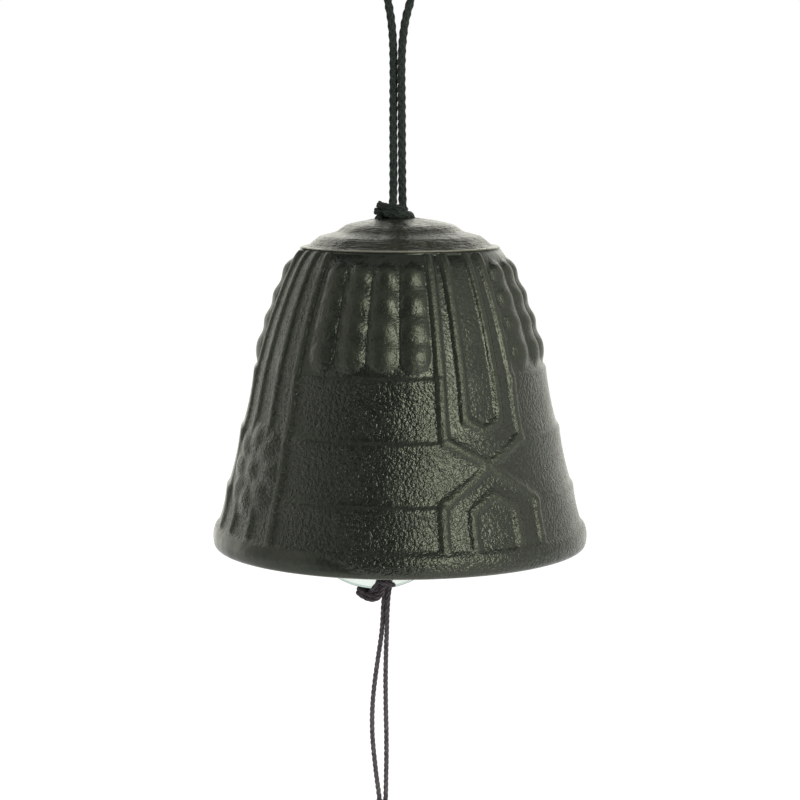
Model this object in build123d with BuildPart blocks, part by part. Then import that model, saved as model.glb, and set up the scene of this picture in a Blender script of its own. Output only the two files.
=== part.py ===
"""Cast iron wind bell in the form of a temple bell, with its cords, glass clapper and paper catcher.

Millimetres, +Z up. The origin is the point of the hook that the cord's eye hangs on, and the front
of the bell faces -Y. Azimuths are measured from the front (-Y) towards +X. Heights of the bell are
measured up from the rim.
"""
import os
from math import atan2, cos, pi, radians, sin, sqrt, tan

from build123d import *

os.makedirs("parts", exist_ok=True)

# Bell wall: the four ledges that go round it, by height above the rim and radius at the ledge
lip_line_height = 4.6
lip_line_radius = 35.75
lower_line_height = 12.6
lower_line_radius = 33.6
middle_line_height = 23.9
middle_line_radius = 30.8
panel_line_height = 35.3
panel_line_radius = 28.15
ledge = 0.4
zone_hollow = 0.3

# Lip, boss panel and shoulder
lip_belly = 0.35
lip_belly_height = 2.3
lip_tuck = 0.55
panel_middle_radius = 24.6
shoulder_height = 56.3
shoulder_radius = 20.5

# Crown: radii, and rises above the shoulder one after the other
ring_radius = 19.7
ring_step = 0.4
ring_rise = 1.2
ring_bulge = 0.3
cone_top_radius = 15.6
cone_rise = 2.0
cap_foot_radius = 12.2
shelf_rise = 0.85
cap_edge_radius = 11.2
cap_edge_rise = 1.0
cap_dome_rise = 1.75

# Castings' thickness
wall = 2.9
crown_thickness = 4.1

# Cast relief: four upright bands of ridges, boss panels between them, a lotus seat on two of the bands
band_count = 4
band_azimuth = 31.0
ridge_width = 2.4
ridge_proud = 0.7
outer_angle = 15.8
outer_corner_height = 24.2
outer_point_height = 19.4
inner_angle = 7.4
inner_corner_height = 27.7
inner_point_height = 25.4
gable_angle = 17.5
gable_eaves_height = 12.7
arch_angle = 8.0
arch_eaves_height = 11.5
arch_point_height = 14.3
boss_columns = 4
boss_rows = 4
boss_margin_below = 1.0
boss_margin_above = 1.25
boss_pitch_angle = 12.9
boss_width_share = 0.78
boss_proud = 0.8
lotus_height = 17.2
lotus_radius = 9.2
lotus_petals = 8
petal_length = 5.4
petal_width = 3.2
petal_rim = 0.5
petal_proud = 0.6
lotus_eye_radius = 2.3

# Hanging cord, its eye and the pair of crown holes that it is tied through
cord_diameter = 1.5
eye_radius = 2.0
crown_drop = 47.8
cord_gap = 0.3
hole_spacing = 7.8
hole_pair_shift = -1.0
hole_radius = 1.15
saddle_bend = 1.55
knot_length = 6.7
knot_height = 3.4
knot_seat_gap = 0.05
knot_end_gap = 0.15
stub_diameter = 1.4

# Clapper disc, its string and the string below it
string_diameter = 1.0
string_clearance = 0.15
disc_radius = 15.2
disc_thickness = 2.0
disc_edge_round = 0.4
disc_shift = -4.4
disc_centre_height = 6.2
disc_hole_radius = 1.5
disc_hole_inset = 3.0
hitch_hole_shift = 1.2
hitch_diameter = 1.6
hitch_lean = -2.4
loop_knot_radius = 1.15
loop_knot_height = 40.0
loop_shift = -2.8
tail_diameter = 1.0
tail_shift = -2.75
tail_top_drop = 10.5
tail_top_gap = 0.8
tail_gap = 0.35
tail_depth = -1.95

# Paper catcher and the knot that it hangs from
tail_knot_radius = 1.5
tail_knot_drop = 53.4
tail_knot_shift = -3.4
paper_width = 34.0
paper_length = 96.0
paper_thickness = 0.4
paper_hole_radius = 1.6
paper_hole_inset = 3.2
paper_hole_drop = 59.8
paper_corner = 0.8

# Levels that follow from the sizes above
crown_height = shoulder_height + ring_step + ring_rise + cone_rise + shelf_rise + cap_edge_rise + cap_dome_rise
crown_z = -crown_drop
rim_z = crown_z - crown_height
mouth_radius = lip_line_radius + lip_belly
lip_foot_radius = lip_line_radius - lip_tuck
crown_inside = crown_height - crown_thickness
panel_middle_height = (panel_line_height + shoulder_height) / 2
meridian = Plane(origin=(0, 0, rim_z), x_dir=(1, 0, 0), z_dir=(0, -1, 0))
wall_lines = [
    (lip_line_height, lip_line_radius),
    (lower_line_height, lower_line_radius),
    (middle_line_height, middle_line_radius),
    (panel_line_height, panel_line_radius),
]
wall_stations = [(height, radius - ledge) for height, radius in wall_lines]
wall_stations += [(panel_middle_height, panel_middle_radius), (shoulder_height, shoulder_radius)]


def wall_slope(height):
    """Station below this height, and the wall's change of radius per millimetre of height there."""
    index = max(i for i, station in enumerate(wall_stations[:-1]) if i == 0 or station[0] <= height)
    (low, low_radius), (high, high_radius) = wall_stations[index : index + 2]
    return low, low_radius, (high_radius - low_radius) / (high - low)


def wall_radius(height):
    """Radius of the plain wall at a height above the rim."""
    low, low_radius, slope = wall_slope(height)
    return low_radius + slope * (height - low)


def across(angle, height):
    """Distance sideways from a band's middle line to a line of the given azimuth on the wall."""
    return wall_radius(height) * sin(radians(angle))


def wall_outline(proud):
    """Draw the wall's outline, ledge by ledge from the lip to the shoulder, moved out by proud."""
    for (low, low_radius), (high, high_radius) in zip(wall_lines, wall_lines[1:]):
        start = (low_radius - ledge + proud, low)
        end = (high_radius + proud, high)
        middle = ((start[0] + end[0]) / 2 - zone_hollow, (low + high) / 2)
        ThreePointArc(start, middle, end)
        Line(end, (high_radius - ledge + proud, high))
    ThreePointArc(
        (panel_line_radius - ledge + proud, panel_line_height),
        (panel_middle_radius + proud, panel_middle_height),
        (shoulder_radius + proud, shoulder_height),
    )


def wall_skin(proud):
    """Solid of revolution whose side is the wall moved out by proud, from lip to shoulder."""
    with BuildPart() as skin:
        with BuildSketch(meridian):
            with BuildLine():
                Line((0, lip_line_height), (lip_line_radius - ledge + proud, lip_line_height))
                wall_outline(proud)
                Line((shoulder_radius + proud, shoulder_height), (0, shoulder_height))
                Line((0, shoulder_height), (0, lip_line_height))
            make_face()
        revolve(axis=Axis.Z)
    return skin.part


def band_plane(index):
    """Upright plane in the cavity that looks out along a band, with its origin level with the rim."""
    azimuth = radians(band_azimuth + index * 360 / band_count)
    outward = Vector(sin(azimuth), -cos(azimuth), 0)
    origin = outward * cap_foot_radius + Vector(0, 0, rim_z)
    return Plane(origin=origin, x_dir=(cos(azimuth), sin(azimuth), 0), z_dir=outward)


def upright_line(angle, low, high):
    """Points of a line of constant azimuth between two heights, from the top down."""
    between = [station for station, _ in reversed(wall_stations) if low < station < high]
    return [(across(angle, height), height) for height in (high, *between, low)]


def ridge(points):
    """Draw a raised line of the relief along a polyline."""
    with BuildLine() as route:
        Polyline(*points)
    trace(route.edges(), line_width=ridge_width)


def mirrored_ridge(right_side, point):
    """Draw a ridge along its right half, through the point on the middle line, and back up its left half."""
    left_side = [(-x, y) for x, y in reversed(right_side)]
    ridge([*right_side, (0, point), *left_side])


def pointed_ridge(angle, corner, point):
    """Draw a ridge that comes down from the shoulder to two corners, which run in to a point below."""
    mirrored_ridge(upright_line(angle, corner, shoulder_height), point)


def gable_ridge(angle, eaves, point):
    """Draw a house-shaped ridge that stands on the lip line."""
    mirrored_ridge(upright_line(angle, lip_line_height, eaves)[::-1], point)


def tube_radii(points):
    """Bend radius at each corner of a cord's route: as large as the two runs beside it allow."""
    radii = []
    for before, corner, after in zip(points, points[1:], points[2:]):
        run_in = Vector(*corner) - Vector(*before)
        run_out = Vector(*after) - Vector(*corner)
        half_turn = radians(run_in.get_angle(run_out)) / 2
        radii.append(0.45 * min(run_in.length, run_out.length) / tan(half_turn))
    return radii


def sweep_round(route, diameter):
    """Sweep a round section along the route that was drawn last."""
    with BuildSketch(Plane(origin=route.line @ 0, z_dir=route.line % 0)) as section:
        Circle(diameter / 2)
    sweep(section.sketch, path=route.line)


def report_tube(name, part, route, diameter, radii):
    """Print a cord's bend radii, and its volume against its section times its length."""
    plain = pi * diameter**2 / 4 * sum(edge.length for edge in route.edges())
    print(name, "radii", [round(radius, 1) for radius in radii], "volume ratio", round(part.volume / plain, 4))


# Bell: turned blank
with BuildPart() as blank:
    with BuildSketch(meridian):
        with BuildLine():
            ring_foot = shoulder_height + ring_step
            ring_top = ring_foot + ring_rise
            cone_top = ring_top + cone_rise
            shelf_top = cone_top + shelf_rise
            cap_edge = shelf_top + cap_edge_rise
            ring_top_radius = ring_radius - ring_rise / 2
            Line((0, 0), (lip_foot_radius, 0))
            ThreePointArc(
                (lip_foot_radius, 0), (mouth_radius, lip_belly_height), (lip_line_radius, lip_line_height)
            )
            Line((lip_line_radius, lip_line_height), (lip_line_radius - ledge, lip_line_height))
            wall_outline(0)
            Line((shoulder_radius, shoulder_height), (ring_radius, ring_foot))
            ThreePointArc(
                (ring_radius, ring_foot),
                ((ring_radius + ring_top_radius) / 2 + ring_bulge, (ring_foot + ring_top) / 2),
                (ring_top_radius, ring_top),
            )
            Line((ring_top_radius, ring_top), (cone_top_radius, cone_top))
            Line((cone_top_radius, cone_top), (cap_foot_radius, shelf_top))
            Line((cap_foot_radius, shelf_top), (cap_edge_radius, cap_edge))
            cap_sphere = (cap_edge_radius**2 + cap_dome_rise**2) / (2 * cap_dome_rise)
            cap_middle = cap_edge_radius / 2
            cap_sag = cap_sphere - sqrt(cap_sphere**2 - cap_middle**2)
            ThreePointArc(
                (cap_edge_radius, cap_edge), (cap_middle, crown_height - cap_sag), (0, crown_height)
            )
            Line((0, crown_height), (0, 0))
        make_face()
    revolve(axis=Axis.Z)

# Bell: cavity, a wall's thickness inside the blank
with BuildPart() as cavity:
    with BuildSketch(meridian):
        with BuildLine():
            inside_wall = [(radius - wall, height) for height, radius in wall_stations[1:-1]]
            inside_shoulder = (shoulder_radius - wall, shoulder_height - wall)
            inside_crown = (cap_foot_radius / 2, crown_inside)
            inside_mouth = (wall_stations[0][1] - wall + ledge, 0)
            Spline(inside_mouth, *inside_wall, inside_shoulder, inside_crown, tangents=((-0.1, 1), (-1, 0)))
            Line(inside_crown, (0, crown_inside))
            Line((0, crown_inside), (0, 0))
            Line((0, 0), inside_mouth)
        make_face()
    revolve(axis=Axis.Z)

# Bell: ridges of the bands, and the pads of the lotus seats
ridge_skin = wall_skin(ridge_proud)
with BuildPart() as bands:
    for index in range(band_count):
        with BuildSketch(band_plane(index)):
            if index % 2 == 0:
                pointed_ridge(outer_angle, outer_corner_height, outer_point_height)
                pointed_ridge(inner_angle, inner_corner_height, inner_point_height)
                gable_ridge(gable_angle, gable_eaves_height, outer_point_height)
                gable_ridge(arch_angle, arch_eaves_height, arch_point_height)
            else:
                for angle in (-outer_angle, -inner_angle, inner_angle, outer_angle):
                    ridge(upright_line(angle, lip_line_height, shoulder_height))
                with Locations((0, lotus_height)):
                    Circle(lotus_radius)
        extrude(amount=mouth_radius)
    add(ridge_skin, mode=Mode.INTERSECT)

# Bell: petals and eye of the lotus seats, one step higher
petal_skin = wall_skin(ridge_proud + petal_proud)
with BuildPart() as lotus:
    for index in range(1, band_count, 2):
        with BuildSketch(band_plane(index)):
            with Locations((0, lotus_height)):
                Circle(lotus_eye_radius)
                with PolarLocations(lotus_radius - petal_rim - petal_length / 2, lotus_petals):
                    Ellipse(petal_length / 2, petal_width / 2)
        extrude(amount=mouth_radius)
    add(petal_skin, mode=Mode.INTERSECT)

# Bell: the casting, with its round bosses and the two holes in the crown
with BuildPart() as bell:
    add(blank.part)
    add(bands.part)
    add(lotus.part)
    boss_panel_foot = panel_line_height + boss_margin_below
    row_pitch = (shoulder_height - boss_margin_above - boss_panel_foot) / boss_rows
    boss_steps = [column - (boss_columns - 1) / 2 for column in range(boss_columns)]
    for row in range(boss_rows):
        boss_height = boss_panel_foot + (row + 0.5) * row_pitch
        ground = wall_radius(boss_height)
        lean = atan2(-wall_slope(boss_height)[2], 1)
        foot = boss_width_share * ground * radians(boss_pitch_angle) / 2
        sphere = (foot**2 + boss_proud**2) / (2 * boss_proud)
        sunk = sphere - boss_proud
        reach = ground - sunk * cos(lean)
        level = rim_z + boss_height - sunk * sin(lean)
        azimuths = [
            radians(band_azimuth + (panel + 0.5) * 360 / band_count + column * boss_pitch_angle)
            for panel in range(band_count)
            for column in boss_steps
        ]
        with Locations(*[(reach * sin(azimuth), -reach * cos(azimuth), level) for azimuth in azimuths]):
            Sphere(sphere)
    add(cavity.part, mode=Mode.SUBTRACT)
    with Locations((hole_pair_shift, 0, crown_z)):
        with GridLocations(hole_spacing, 1, 2, 1):
            Cylinder(hole_radius, 4 * crown_thickness, mode=Mode.SUBTRACT)

# Hanging cord: up from the knot, round the eye on the hook, and down again
cord_foot = crown_z + knot_height + cord_gap
eye_side = eye_radius + cord_diameter / 2
eye_crest = cord_diameter / 2
hanging_points = [
    (-1.41, 0.25, cord_foot),
    (-1.3, 0.35, -30.0),
    (-1.15, 0.5, -13.0),
    (-eye_side, 0.1, -4.5),
    (-eye_side, 0.0, eye_crest),
    (eye_side, 0.0, eye_crest),
    (eye_side, -0.1, -4.5),
    (0.2, -0.5, -13.0),
    (0.35, -0.35, -30.0),
    (0.52, -0.25, cord_foot),
]
hanging_radii = tube_radii(hanging_points)
for corner in (3, 4):
    hanging_radii[corner] = 0.98 * eye_side
with BuildPart() as hanging_loop:
    with BuildLine() as hanging_route:
        FilletPolyline(*hanging_points, radius=hanging_radii)
    sweep_round(hanging_route, cord_diameter)

# Crown knot: the lump on the crown, its two cut ends, and the saddle under the crown's bridge
saddle_room = string_diameter + 2 * string_clearance
saddle_z = rim_z + crown_inside - saddle_room - cord_diameter / 2
left_leg = hole_pair_shift - hole_spacing / 2
right_leg = hole_pair_shift + hole_spacing / 2
knot_z = crown_z + knot_seat_gap + knot_height / 2
knot_end_z = crown_z + cord_diameter / 2 + knot_end_gap
with BuildPart() as crown_knot:
    with BuildLine() as saddle_route:
        FilletPolyline(
            (hole_pair_shift - saddle_bend, 0, knot_end_z),
            (left_leg, 0, knot_end_z),
            (left_leg, 0, saddle_z),
            (right_leg, 0, saddle_z),
            (right_leg, 0, knot_end_z),
            (hole_pair_shift + saddle_bend, 0, knot_end_z),
            radius=saddle_bend,
        )
    sweep_round(saddle_route, cord_diameter)
    with BuildSketch(Plane(origin=(hole_pair_shift, 0, knot_z), z_dir=(0, -1, 0), x_dir=(1, 0, 0))):
        Ellipse(knot_length / 2, (knot_height - knot_seat_gap) / 2)
        Rectangle(knot_length, knot_height, align=(Align.CENTER, Align.MAX), mode=Mode.SUBTRACT)
    revolve(axis=Axis((hole_pair_shift, 0, knot_z), (1, 0, 0)))
    for tip in ((-4.7, -0.7, crown_z + 2.9), (-5.2, 0.4, crown_z + 1.7)):
        root = Vector(hole_pair_shift - knot_length / 4, tip[1] / 2, knot_z)
        direction = Vector(*tip) - root
        with BuildSketch(Plane(origin=root, z_dir=direction)):
            Circle(stub_diameter / 2)
        extrude(amount=direction.length)

# Clapper disc: flat glass, facing front, with a hole near its top and one near its bottom edge
disc_z = rim_z + disc_centre_height
top_hole_z = disc_z + disc_radius - disc_hole_inset
hitch_hole = (disc_shift + hitch_hole_shift, disc_z - disc_radius + disc_hole_inset + hitch_diameter / 2)
with BuildPart() as clapper_disc:
    with BuildSketch(Plane(origin=(disc_shift, 0, disc_z), x_dir=(1, 0, 0), z_dir=(0, -1, 0))):
        Circle(disc_radius)
        with Locations(
            (0, top_hole_z - disc_z), (hitch_hole[0] - disc_shift, hitch_hole[1] - disc_z)
        ):
            Circle(disc_hole_radius, mode=Mode.SUBTRACT)
    extrude(amount=disc_thickness / 2, both=True)
    fillet(clapper_disc.edges().filter_by(GeomType.CIRCLE).group_by(SortBy.RADIUS)[-1], disc_edge_round)


def tied_loop(upper, lower, half_gap, start_share):
    """Draw a string's loop, front to back, from one level of its front run round to the same level.

    The loop lies in the plane of Y and of the line from upper to lower, its two ends are round, and
    start_share says how far down its front run the two ends of the string meet.
    """
    along = (lower - upper).normalized()
    front = Vector(0, -half_gap, 0)
    top_centre = upper + along * half_gap
    low_centre = lower - along * half_gap
    start = top_centre + (low_centre - top_centre) * start_share + front
    nick = along * (string_diameter / 10)
    Line(start - nick, top_centre + front)
    ThreePointArc(top_centre + front, upper, top_centre - front)
    Line(top_centre - front, low_centre - front)
    ThreePointArc(low_centre - front, lower, low_centre + front)
    Line(low_centre + front, start + nick)
    return start


# Clapper string: a tied loop that hangs over the saddle and goes through the disc's top hole
disc_half_gap = disc_thickness / 2 + string_diameter / 2 + string_clearance
loop_top = Vector(loop_shift, 0, saddle_z + cord_diameter / 2 + string_clearance + string_diameter / 2)
loop_bottom = Vector(disc_shift, 0, top_hole_z + string_clearance)
loop_knot_share = (loop_top.Z - rim_z - loop_knot_height) / (loop_top.Z - loop_bottom.Z)
with BuildPart() as clapper_loop:
    with BuildLine() as loop_route:
        loop_knot = tied_loop(loop_top, loop_bottom, disc_half_gap, loop_knot_share)
    sweep_round(loop_route, string_diameter)
    with Locations(loop_knot):
        Sphere(loop_knot_radius)

# Hitch: doubled string through the disc's lower hole and round its edge, with the start of the tail
hitch_half_gap = disc_thickness / 2 + hitch_diameter / 2 + string_clearance
hitch_top = Vector(hitch_hole[0], 0, hitch_hole[1] - string_clearance)
hitch_bottom = Vector(
    hitch_hole[0] + hitch_lean,
    0,
    disc_z - disc_radius - hitch_diameter / 2 - 3 * string_clearance,
)
tail_pivot_z = rim_z - tail_top_drop
with BuildPart() as tail_hitch:
    with BuildLine() as hitch_route:
        hitch_knot = tied_loop(hitch_top, hitch_bottom, hitch_half_gap, 0.25)
    sweep_round(hitch_route, hitch_diameter)
    stub_top = Vector(hitch_knot.X, -hitch_half_gap, hitch_knot.Z)
    stub_foot = Vector(tail_shift, -hitch_half_gap, tail_pivot_z + tail_top_gap)
    with BuildSketch(Plane(origin=stub_top, z_dir=stub_foot - stub_top)):
        Circle(hitch_diameter / 2)
    extrude(amount=(stub_foot - stub_top).length)
    with Locations(stub_top):
        Sphere(hitch_diameter / 2)

# Tail strands: two limp strings from the hitch down to the knot above the paper
tail_knot_top = rim_z - tail_knot_drop + tail_knot_radius + tail_gap
tail_routes = {
    "tail_strand_left": [
        (tail_shift - 0.4, tail_depth + 0.4, tail_pivot_z),
        (tail_shift - 0.5, tail_depth + 0.35, tail_pivot_z - 6.5),
        (tail_shift - 1.5, tail_depth + 0.2, tail_pivot_z - 14.5),
        (tail_shift - 2.35, tail_depth + 0.1, tail_pivot_z - 22.0),
        (tail_shift - 2.3, tail_depth, tail_pivot_z - 30.5),
        (tail_knot_shift - 0.55, tail_depth, tail_knot_top),
    ],
    "tail_strand_right": [
        (tail_shift + 0.5, tail_depth - 0.3, tail_pivot_z),
        (tail_shift + 0.4, tail_depth - 0.35, tail_pivot_z - 6.5),
        (tail_shift + 0.05, tail_depth - 0.25, tail_pivot_z - 14.5),
        (tail_shift + 0.1, tail_depth - 0.1, tail_pivot_z - 22.0),
        (tail_shift + 0.25, tail_depth, tail_pivot_z - 30.5),
        (tail_knot_shift + 0.55, tail_depth, tail_knot_top),
    ],
}
tail_strands = {}
for name, points in tail_routes.items():
    radii = tube_radii(points)
    with BuildPart() as strand:
        with BuildLine() as strand_route:
            FilletPolyline(*points, radius=radii)
        sweep_round(strand_route, tail_diameter)
    report_tube(name, strand.part, strand_route, tail_diameter, radii)
    tail_strands[name] = strand.part

# Tail knot: a round knot with the loop that goes through the paper's hole
paper_half_gap = paper_thickness / 2 + tail_diameter / 2 + string_clearance
tail_knot_centre = Vector(tail_knot_shift, tail_depth, rim_z - tail_knot_drop)
paper_hole = Vector(tail_knot_shift, tail_depth, rim_z - paper_hole_drop)
with BuildPart() as tail_knot:
    with Locations(tail_knot_centre):
        Sphere(tail_knot_radius)
    with BuildLine() as bail_route:
        front = Vector(0, -paper_half_gap, 0)
        bail_centre = paper_hole + Vector(0, 0, paper_half_gap + string_clearance)
        Line(tail_knot_centre + front, bail_centre + front)
        ThreePointArc(bail_centre + front, bail_centre - Vector(0, 0, paper_half_gap), bail_centre - front)
        Line(bail_centre - front, tail_knot_centre - front)
    sweep_round(bail_route, tail_diameter)

# Paper catcher: a plain strip, with its hole and slightly rounded corners
with BuildPart() as tanzaku:
    paper_plane = Plane(origin=paper_hole, x_dir=(1, 0, 0), z_dir=(0, -1, 0))
    with BuildSketch(paper_plane):
        with Locations((0, paper_hole_inset - paper_length / 2)):
            RectangleRounded(paper_width, paper_length, paper_corner)
        Circle(paper_hole_radius, mode=Mode.SUBTRACT)
    extrude(amount=paper_thickness / 2, both=True)

report_tube("hanging_loop", hanging_loop.part, hanging_route, cord_diameter, hanging_radii)
print("bell volume", round(bell.part.volume), "crown height", crown_height, "rim z", rim_z)

pieces = {
    "bell": bell.part,
    "hanging_loop": hanging_loop.part,
    "crown_knot": crown_knot.part,
    "clapper_loop": clapper_loop.part,
    "clapper_disc": clapper_disc.part,
    "tail_hitch": tail_hitch.part,
    **tail_strands,
    "tail_knot": tail_knot.part,
    "tanzaku": tanzaku.part,
}
for name, piece in pieces.items():
    piece.label = name
    export_step(piece, f"parts/{name}.step")
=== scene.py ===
"""Looks of a cast iron wind bell with its cords, glass clapper and paper catcher.

Sizes are in millimetres, in the frame of the CAD model, and become metres when a mesh is made.
Azimuths of the bell are measured from the front (-Y) towards +X, heights up from the rim.
"""
from __future__ import annotations

import logging
import math
from dataclasses import dataclass, field
from enum import Enum
from typing import Any

import bmesh
import bpy
import numpy as np
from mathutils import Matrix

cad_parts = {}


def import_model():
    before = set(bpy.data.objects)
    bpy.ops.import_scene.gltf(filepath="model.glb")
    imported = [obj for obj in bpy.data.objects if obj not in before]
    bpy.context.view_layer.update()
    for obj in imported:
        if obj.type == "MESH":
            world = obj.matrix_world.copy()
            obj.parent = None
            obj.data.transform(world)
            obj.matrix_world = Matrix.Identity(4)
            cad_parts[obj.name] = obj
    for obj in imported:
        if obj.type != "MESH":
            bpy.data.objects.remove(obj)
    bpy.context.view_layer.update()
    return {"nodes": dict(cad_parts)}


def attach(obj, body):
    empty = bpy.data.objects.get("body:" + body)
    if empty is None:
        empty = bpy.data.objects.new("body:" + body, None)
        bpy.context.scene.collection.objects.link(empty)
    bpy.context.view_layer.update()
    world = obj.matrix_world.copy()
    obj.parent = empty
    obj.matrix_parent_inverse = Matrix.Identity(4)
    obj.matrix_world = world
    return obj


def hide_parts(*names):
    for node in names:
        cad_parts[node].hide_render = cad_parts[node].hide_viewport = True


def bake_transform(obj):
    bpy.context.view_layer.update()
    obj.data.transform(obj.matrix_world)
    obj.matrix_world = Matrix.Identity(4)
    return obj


LOG = logging.getLogger("wind_bell")
MM = 0.001
RIM_Z = -111.3
CROWN_Z = -47.8

Point = tuple[float, float, float]
Flat = tuple[float, float]
Faces = list[list[int]]


def linear(code: str) -> tuple[float, float, float, float]:
    """Turn an sRGB hex colour into linear RGBA.

    Args:
        code: six hex digits, with or without a leading hash.

    Returns:
        Red, green, blue and an alpha of 1, each from 0 to 1.
    """
    digits = code.lstrip("#")
    shares = [int(digits[i : i + 2], 16) / 255 for i in (0, 2, 4)]
    red, green, blue = (s / 12.92 if s <= 0.04045 else ((s + 0.055) / 1.055) ** 2.4 for s in shares)
    return red, green, blue, 1.0


def smoothstep(low: float | np.ndarray, high: float | np.ndarray, value: np.ndarray) -> np.ndarray:
    """Rise from 0 at low to 1 at high along 3t^2 - 2t^3.

    Args:
        low: value where the rise starts; it may lie above high, for a fall.
        high: value where it ends.
        value: array to ease.

    Returns:
        Array of the eased values.
    """
    share = np.clip((value - low) / (high - low), 0.0, 1.0)
    return share * share * (3 - 2 * share)


def softened(line: np.ndarray, step: float, sigma: float) -> np.ndarray:
    """Round a line's corners: an even resampling, then a Gaussian average along it.

    Args:
        line: points, one a row.
        step: spacing of the resampling.
        sigma: width of the average, about the radius that a corner gets.

    Returns:
        Evenly spaced points of the rounded line, with its two ends kept.
    """
    runs = np.linalg.norm(np.diff(line, axis=0), axis=1)
    along = np.concatenate([[0.0], np.cumsum(runs)])
    even = np.linspace(0.0, along[-1], int(along[-1] / step) + 1)
    points = np.stack([np.interp(even, along, column) for column in line.T], axis=1)
    reach = int(3 * sigma / step)
    weights = np.exp(-0.5 * (np.arange(-reach, reach + 1) * step / sigma) ** 2)
    padded = np.pad(points, ((reach, reach), (0, 0)), mode="reflect", reflect_type="odd")
    columns = [np.convolve(column, weights / weights.sum(), mode="valid") for column in padded.T]
    return np.stack(columns, axis=1)


def arc(start: Flat, middle: Flat, end: Flat, count: int = 24) -> np.ndarray:
    """Points of the circle through three points, from the first to the last.

    Args:
        start: first point.
        middle: point in between.
        end: last point.
        count: number of points.

    Returns:
        Array of points in the plane.
    """
    a, b, c = (complex(*p) for p in (start, middle, end))
    w = (c - a) / (b - a)
    centre = (b - a) * (w - abs(w) ** 2) / (2j * w.imag) + a
    turn_middle = np.angle((b - centre) / (a - centre))
    turn_end = np.angle((c - centre) / (a - centre))
    if turn_middle * turn_end < 0:
        turn_end += math.copysign(2 * math.pi, turn_middle)
    spots = centre + (a - centre) * np.exp(1j * np.linspace(0.0, turn_end, count))
    return np.stack([spots.real, spots.imag], axis=1)


def make_object(name: str, points: np.ndarray, faces: Faces, outward: bool = True) -> bpy.types.Object:
    """Make a smooth-shaded mesh object at the origin.

    Args:
        name: name of the object and its mesh.
        points: vertices in millimetres.
        faces: vertex numbers of each face.
        outward: whether to turn all faces of the closed mesh outwards.

    Returns:
        The object, linked to the scene.
    """
    mesh = bpy.data.meshes.new(name)
    mesh.from_pydata((points * MM).tolist(), [], faces)
    if outward:
        work = bmesh.new()
        work.from_mesh(mesh)
        bmesh.ops.recalc_face_normals(work, faces=work.faces)
        work.to_mesh(mesh)
        work.free()
    mesh.polygons.foreach_set("use_smooth", np.ones(len(mesh.polygons), bool))
    mesh.update()
    piece = bpy.data.objects.new(name, mesh)
    bpy.context.scene.collection.objects.link(piece)
    return piece


def paint(piece: bpy.types.Object, name: str, values: np.ndarray) -> None:
    """Store one number or one vector a vertex as a named attribute of a piece's mesh.

    Args:
        piece: the piece.
        name: name of the attribute, which its material reads.
        values: array with one row a vertex.
    """
    is_vector = values.ndim == 2
    layer = piece.data.attributes.new(name, "FLOAT_VECTOR" if is_vector else "FLOAT", "POINT")
    layer.data.foreach_set("vector" if is_vector else "value", values.astype(np.float32).ravel())


def cut_away(piece: bpy.types.Object, cutter: bpy.types.Object) -> None:
    """Take the cutter's volume out of a piece and delete the cutter.

    Args:
        piece: closed mesh to cut.
        cutter: closed mesh to cut with.
    """
    step = piece.modifiers.new("holes", "BOOLEAN")
    step.operation = "DIFFERENCE"
    step.solver = "EXACT"
    step.object = cutter
    graph = bpy.context.evaluated_depsgraph_get()
    cut = bpy.data.meshes.new_from_object(piece.evaluated_get(graph))
    cut.name = piece.data.name
    piece.modifiers.clear()
    piece.data = cut
    bpy.data.objects.remove(cutter)


def ring_faces(first: int, count: int, next_first: int, next_count: int) -> Faces:
    """Faces between two rings of vertices, one of which may have a multiple of the other's vertices.

    Args:
        first: number of the first ring's first vertex.
        count: vertices in the first ring.
        next_first: number of the second ring's first vertex.
        next_count: vertices in the second ring.

    Returns:
        Quads, or faces with several vertices on the finer side.
    """
    fewer = min(count, next_count)
    corner = np.arange(fewer)[:, None]
    low = (corner * (count // fewer) + np.arange(count // fewer + 1)) % count + first
    high = (corner * (next_count // fewer) + np.arange(next_count // fewer + 1)) % next_count + next_first
    return np.concatenate([low, high[:, ::-1]], axis=1).tolist()


def pegs(name: str, centres: list[Point], direction: int, radius: float, length: float) -> bpy.types.Object:
    """Round pegs to cut holes with: circles carried along one axis, with flat ends.

    Args:
        name: name of the object.
        centres: middle of each peg.
        direction: axis of the pegs, 1 for Y and 2 for Z.
        radius: radius of a peg.
        length: length of a peg.

    Returns:
        One object with all the pegs.
    """
    count = 32
    angle = np.arange(count) * 2 * math.pi / count
    rings = np.zeros((2, count, 3))
    rings[:, :, 0] = radius * np.cos(angle)
    rings[:, :, 3 - direction] = radius * np.sin(angle)
    rings[0, :, direction] = -length / 2
    rings[1, :, direction] = length / 2
    points = np.concatenate([rings.reshape(-1, 3) + np.array(centre) for centre in centres])
    faces: Faces = []
    for index in range(len(centres)):
        low = index * 2 * count
        faces += ring_faces(low, count, low + count, count)
        faces += [list(range(low, low + count)), list(range(low + count, low + 2 * count))]
    return make_object(name, points, faces)


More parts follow.
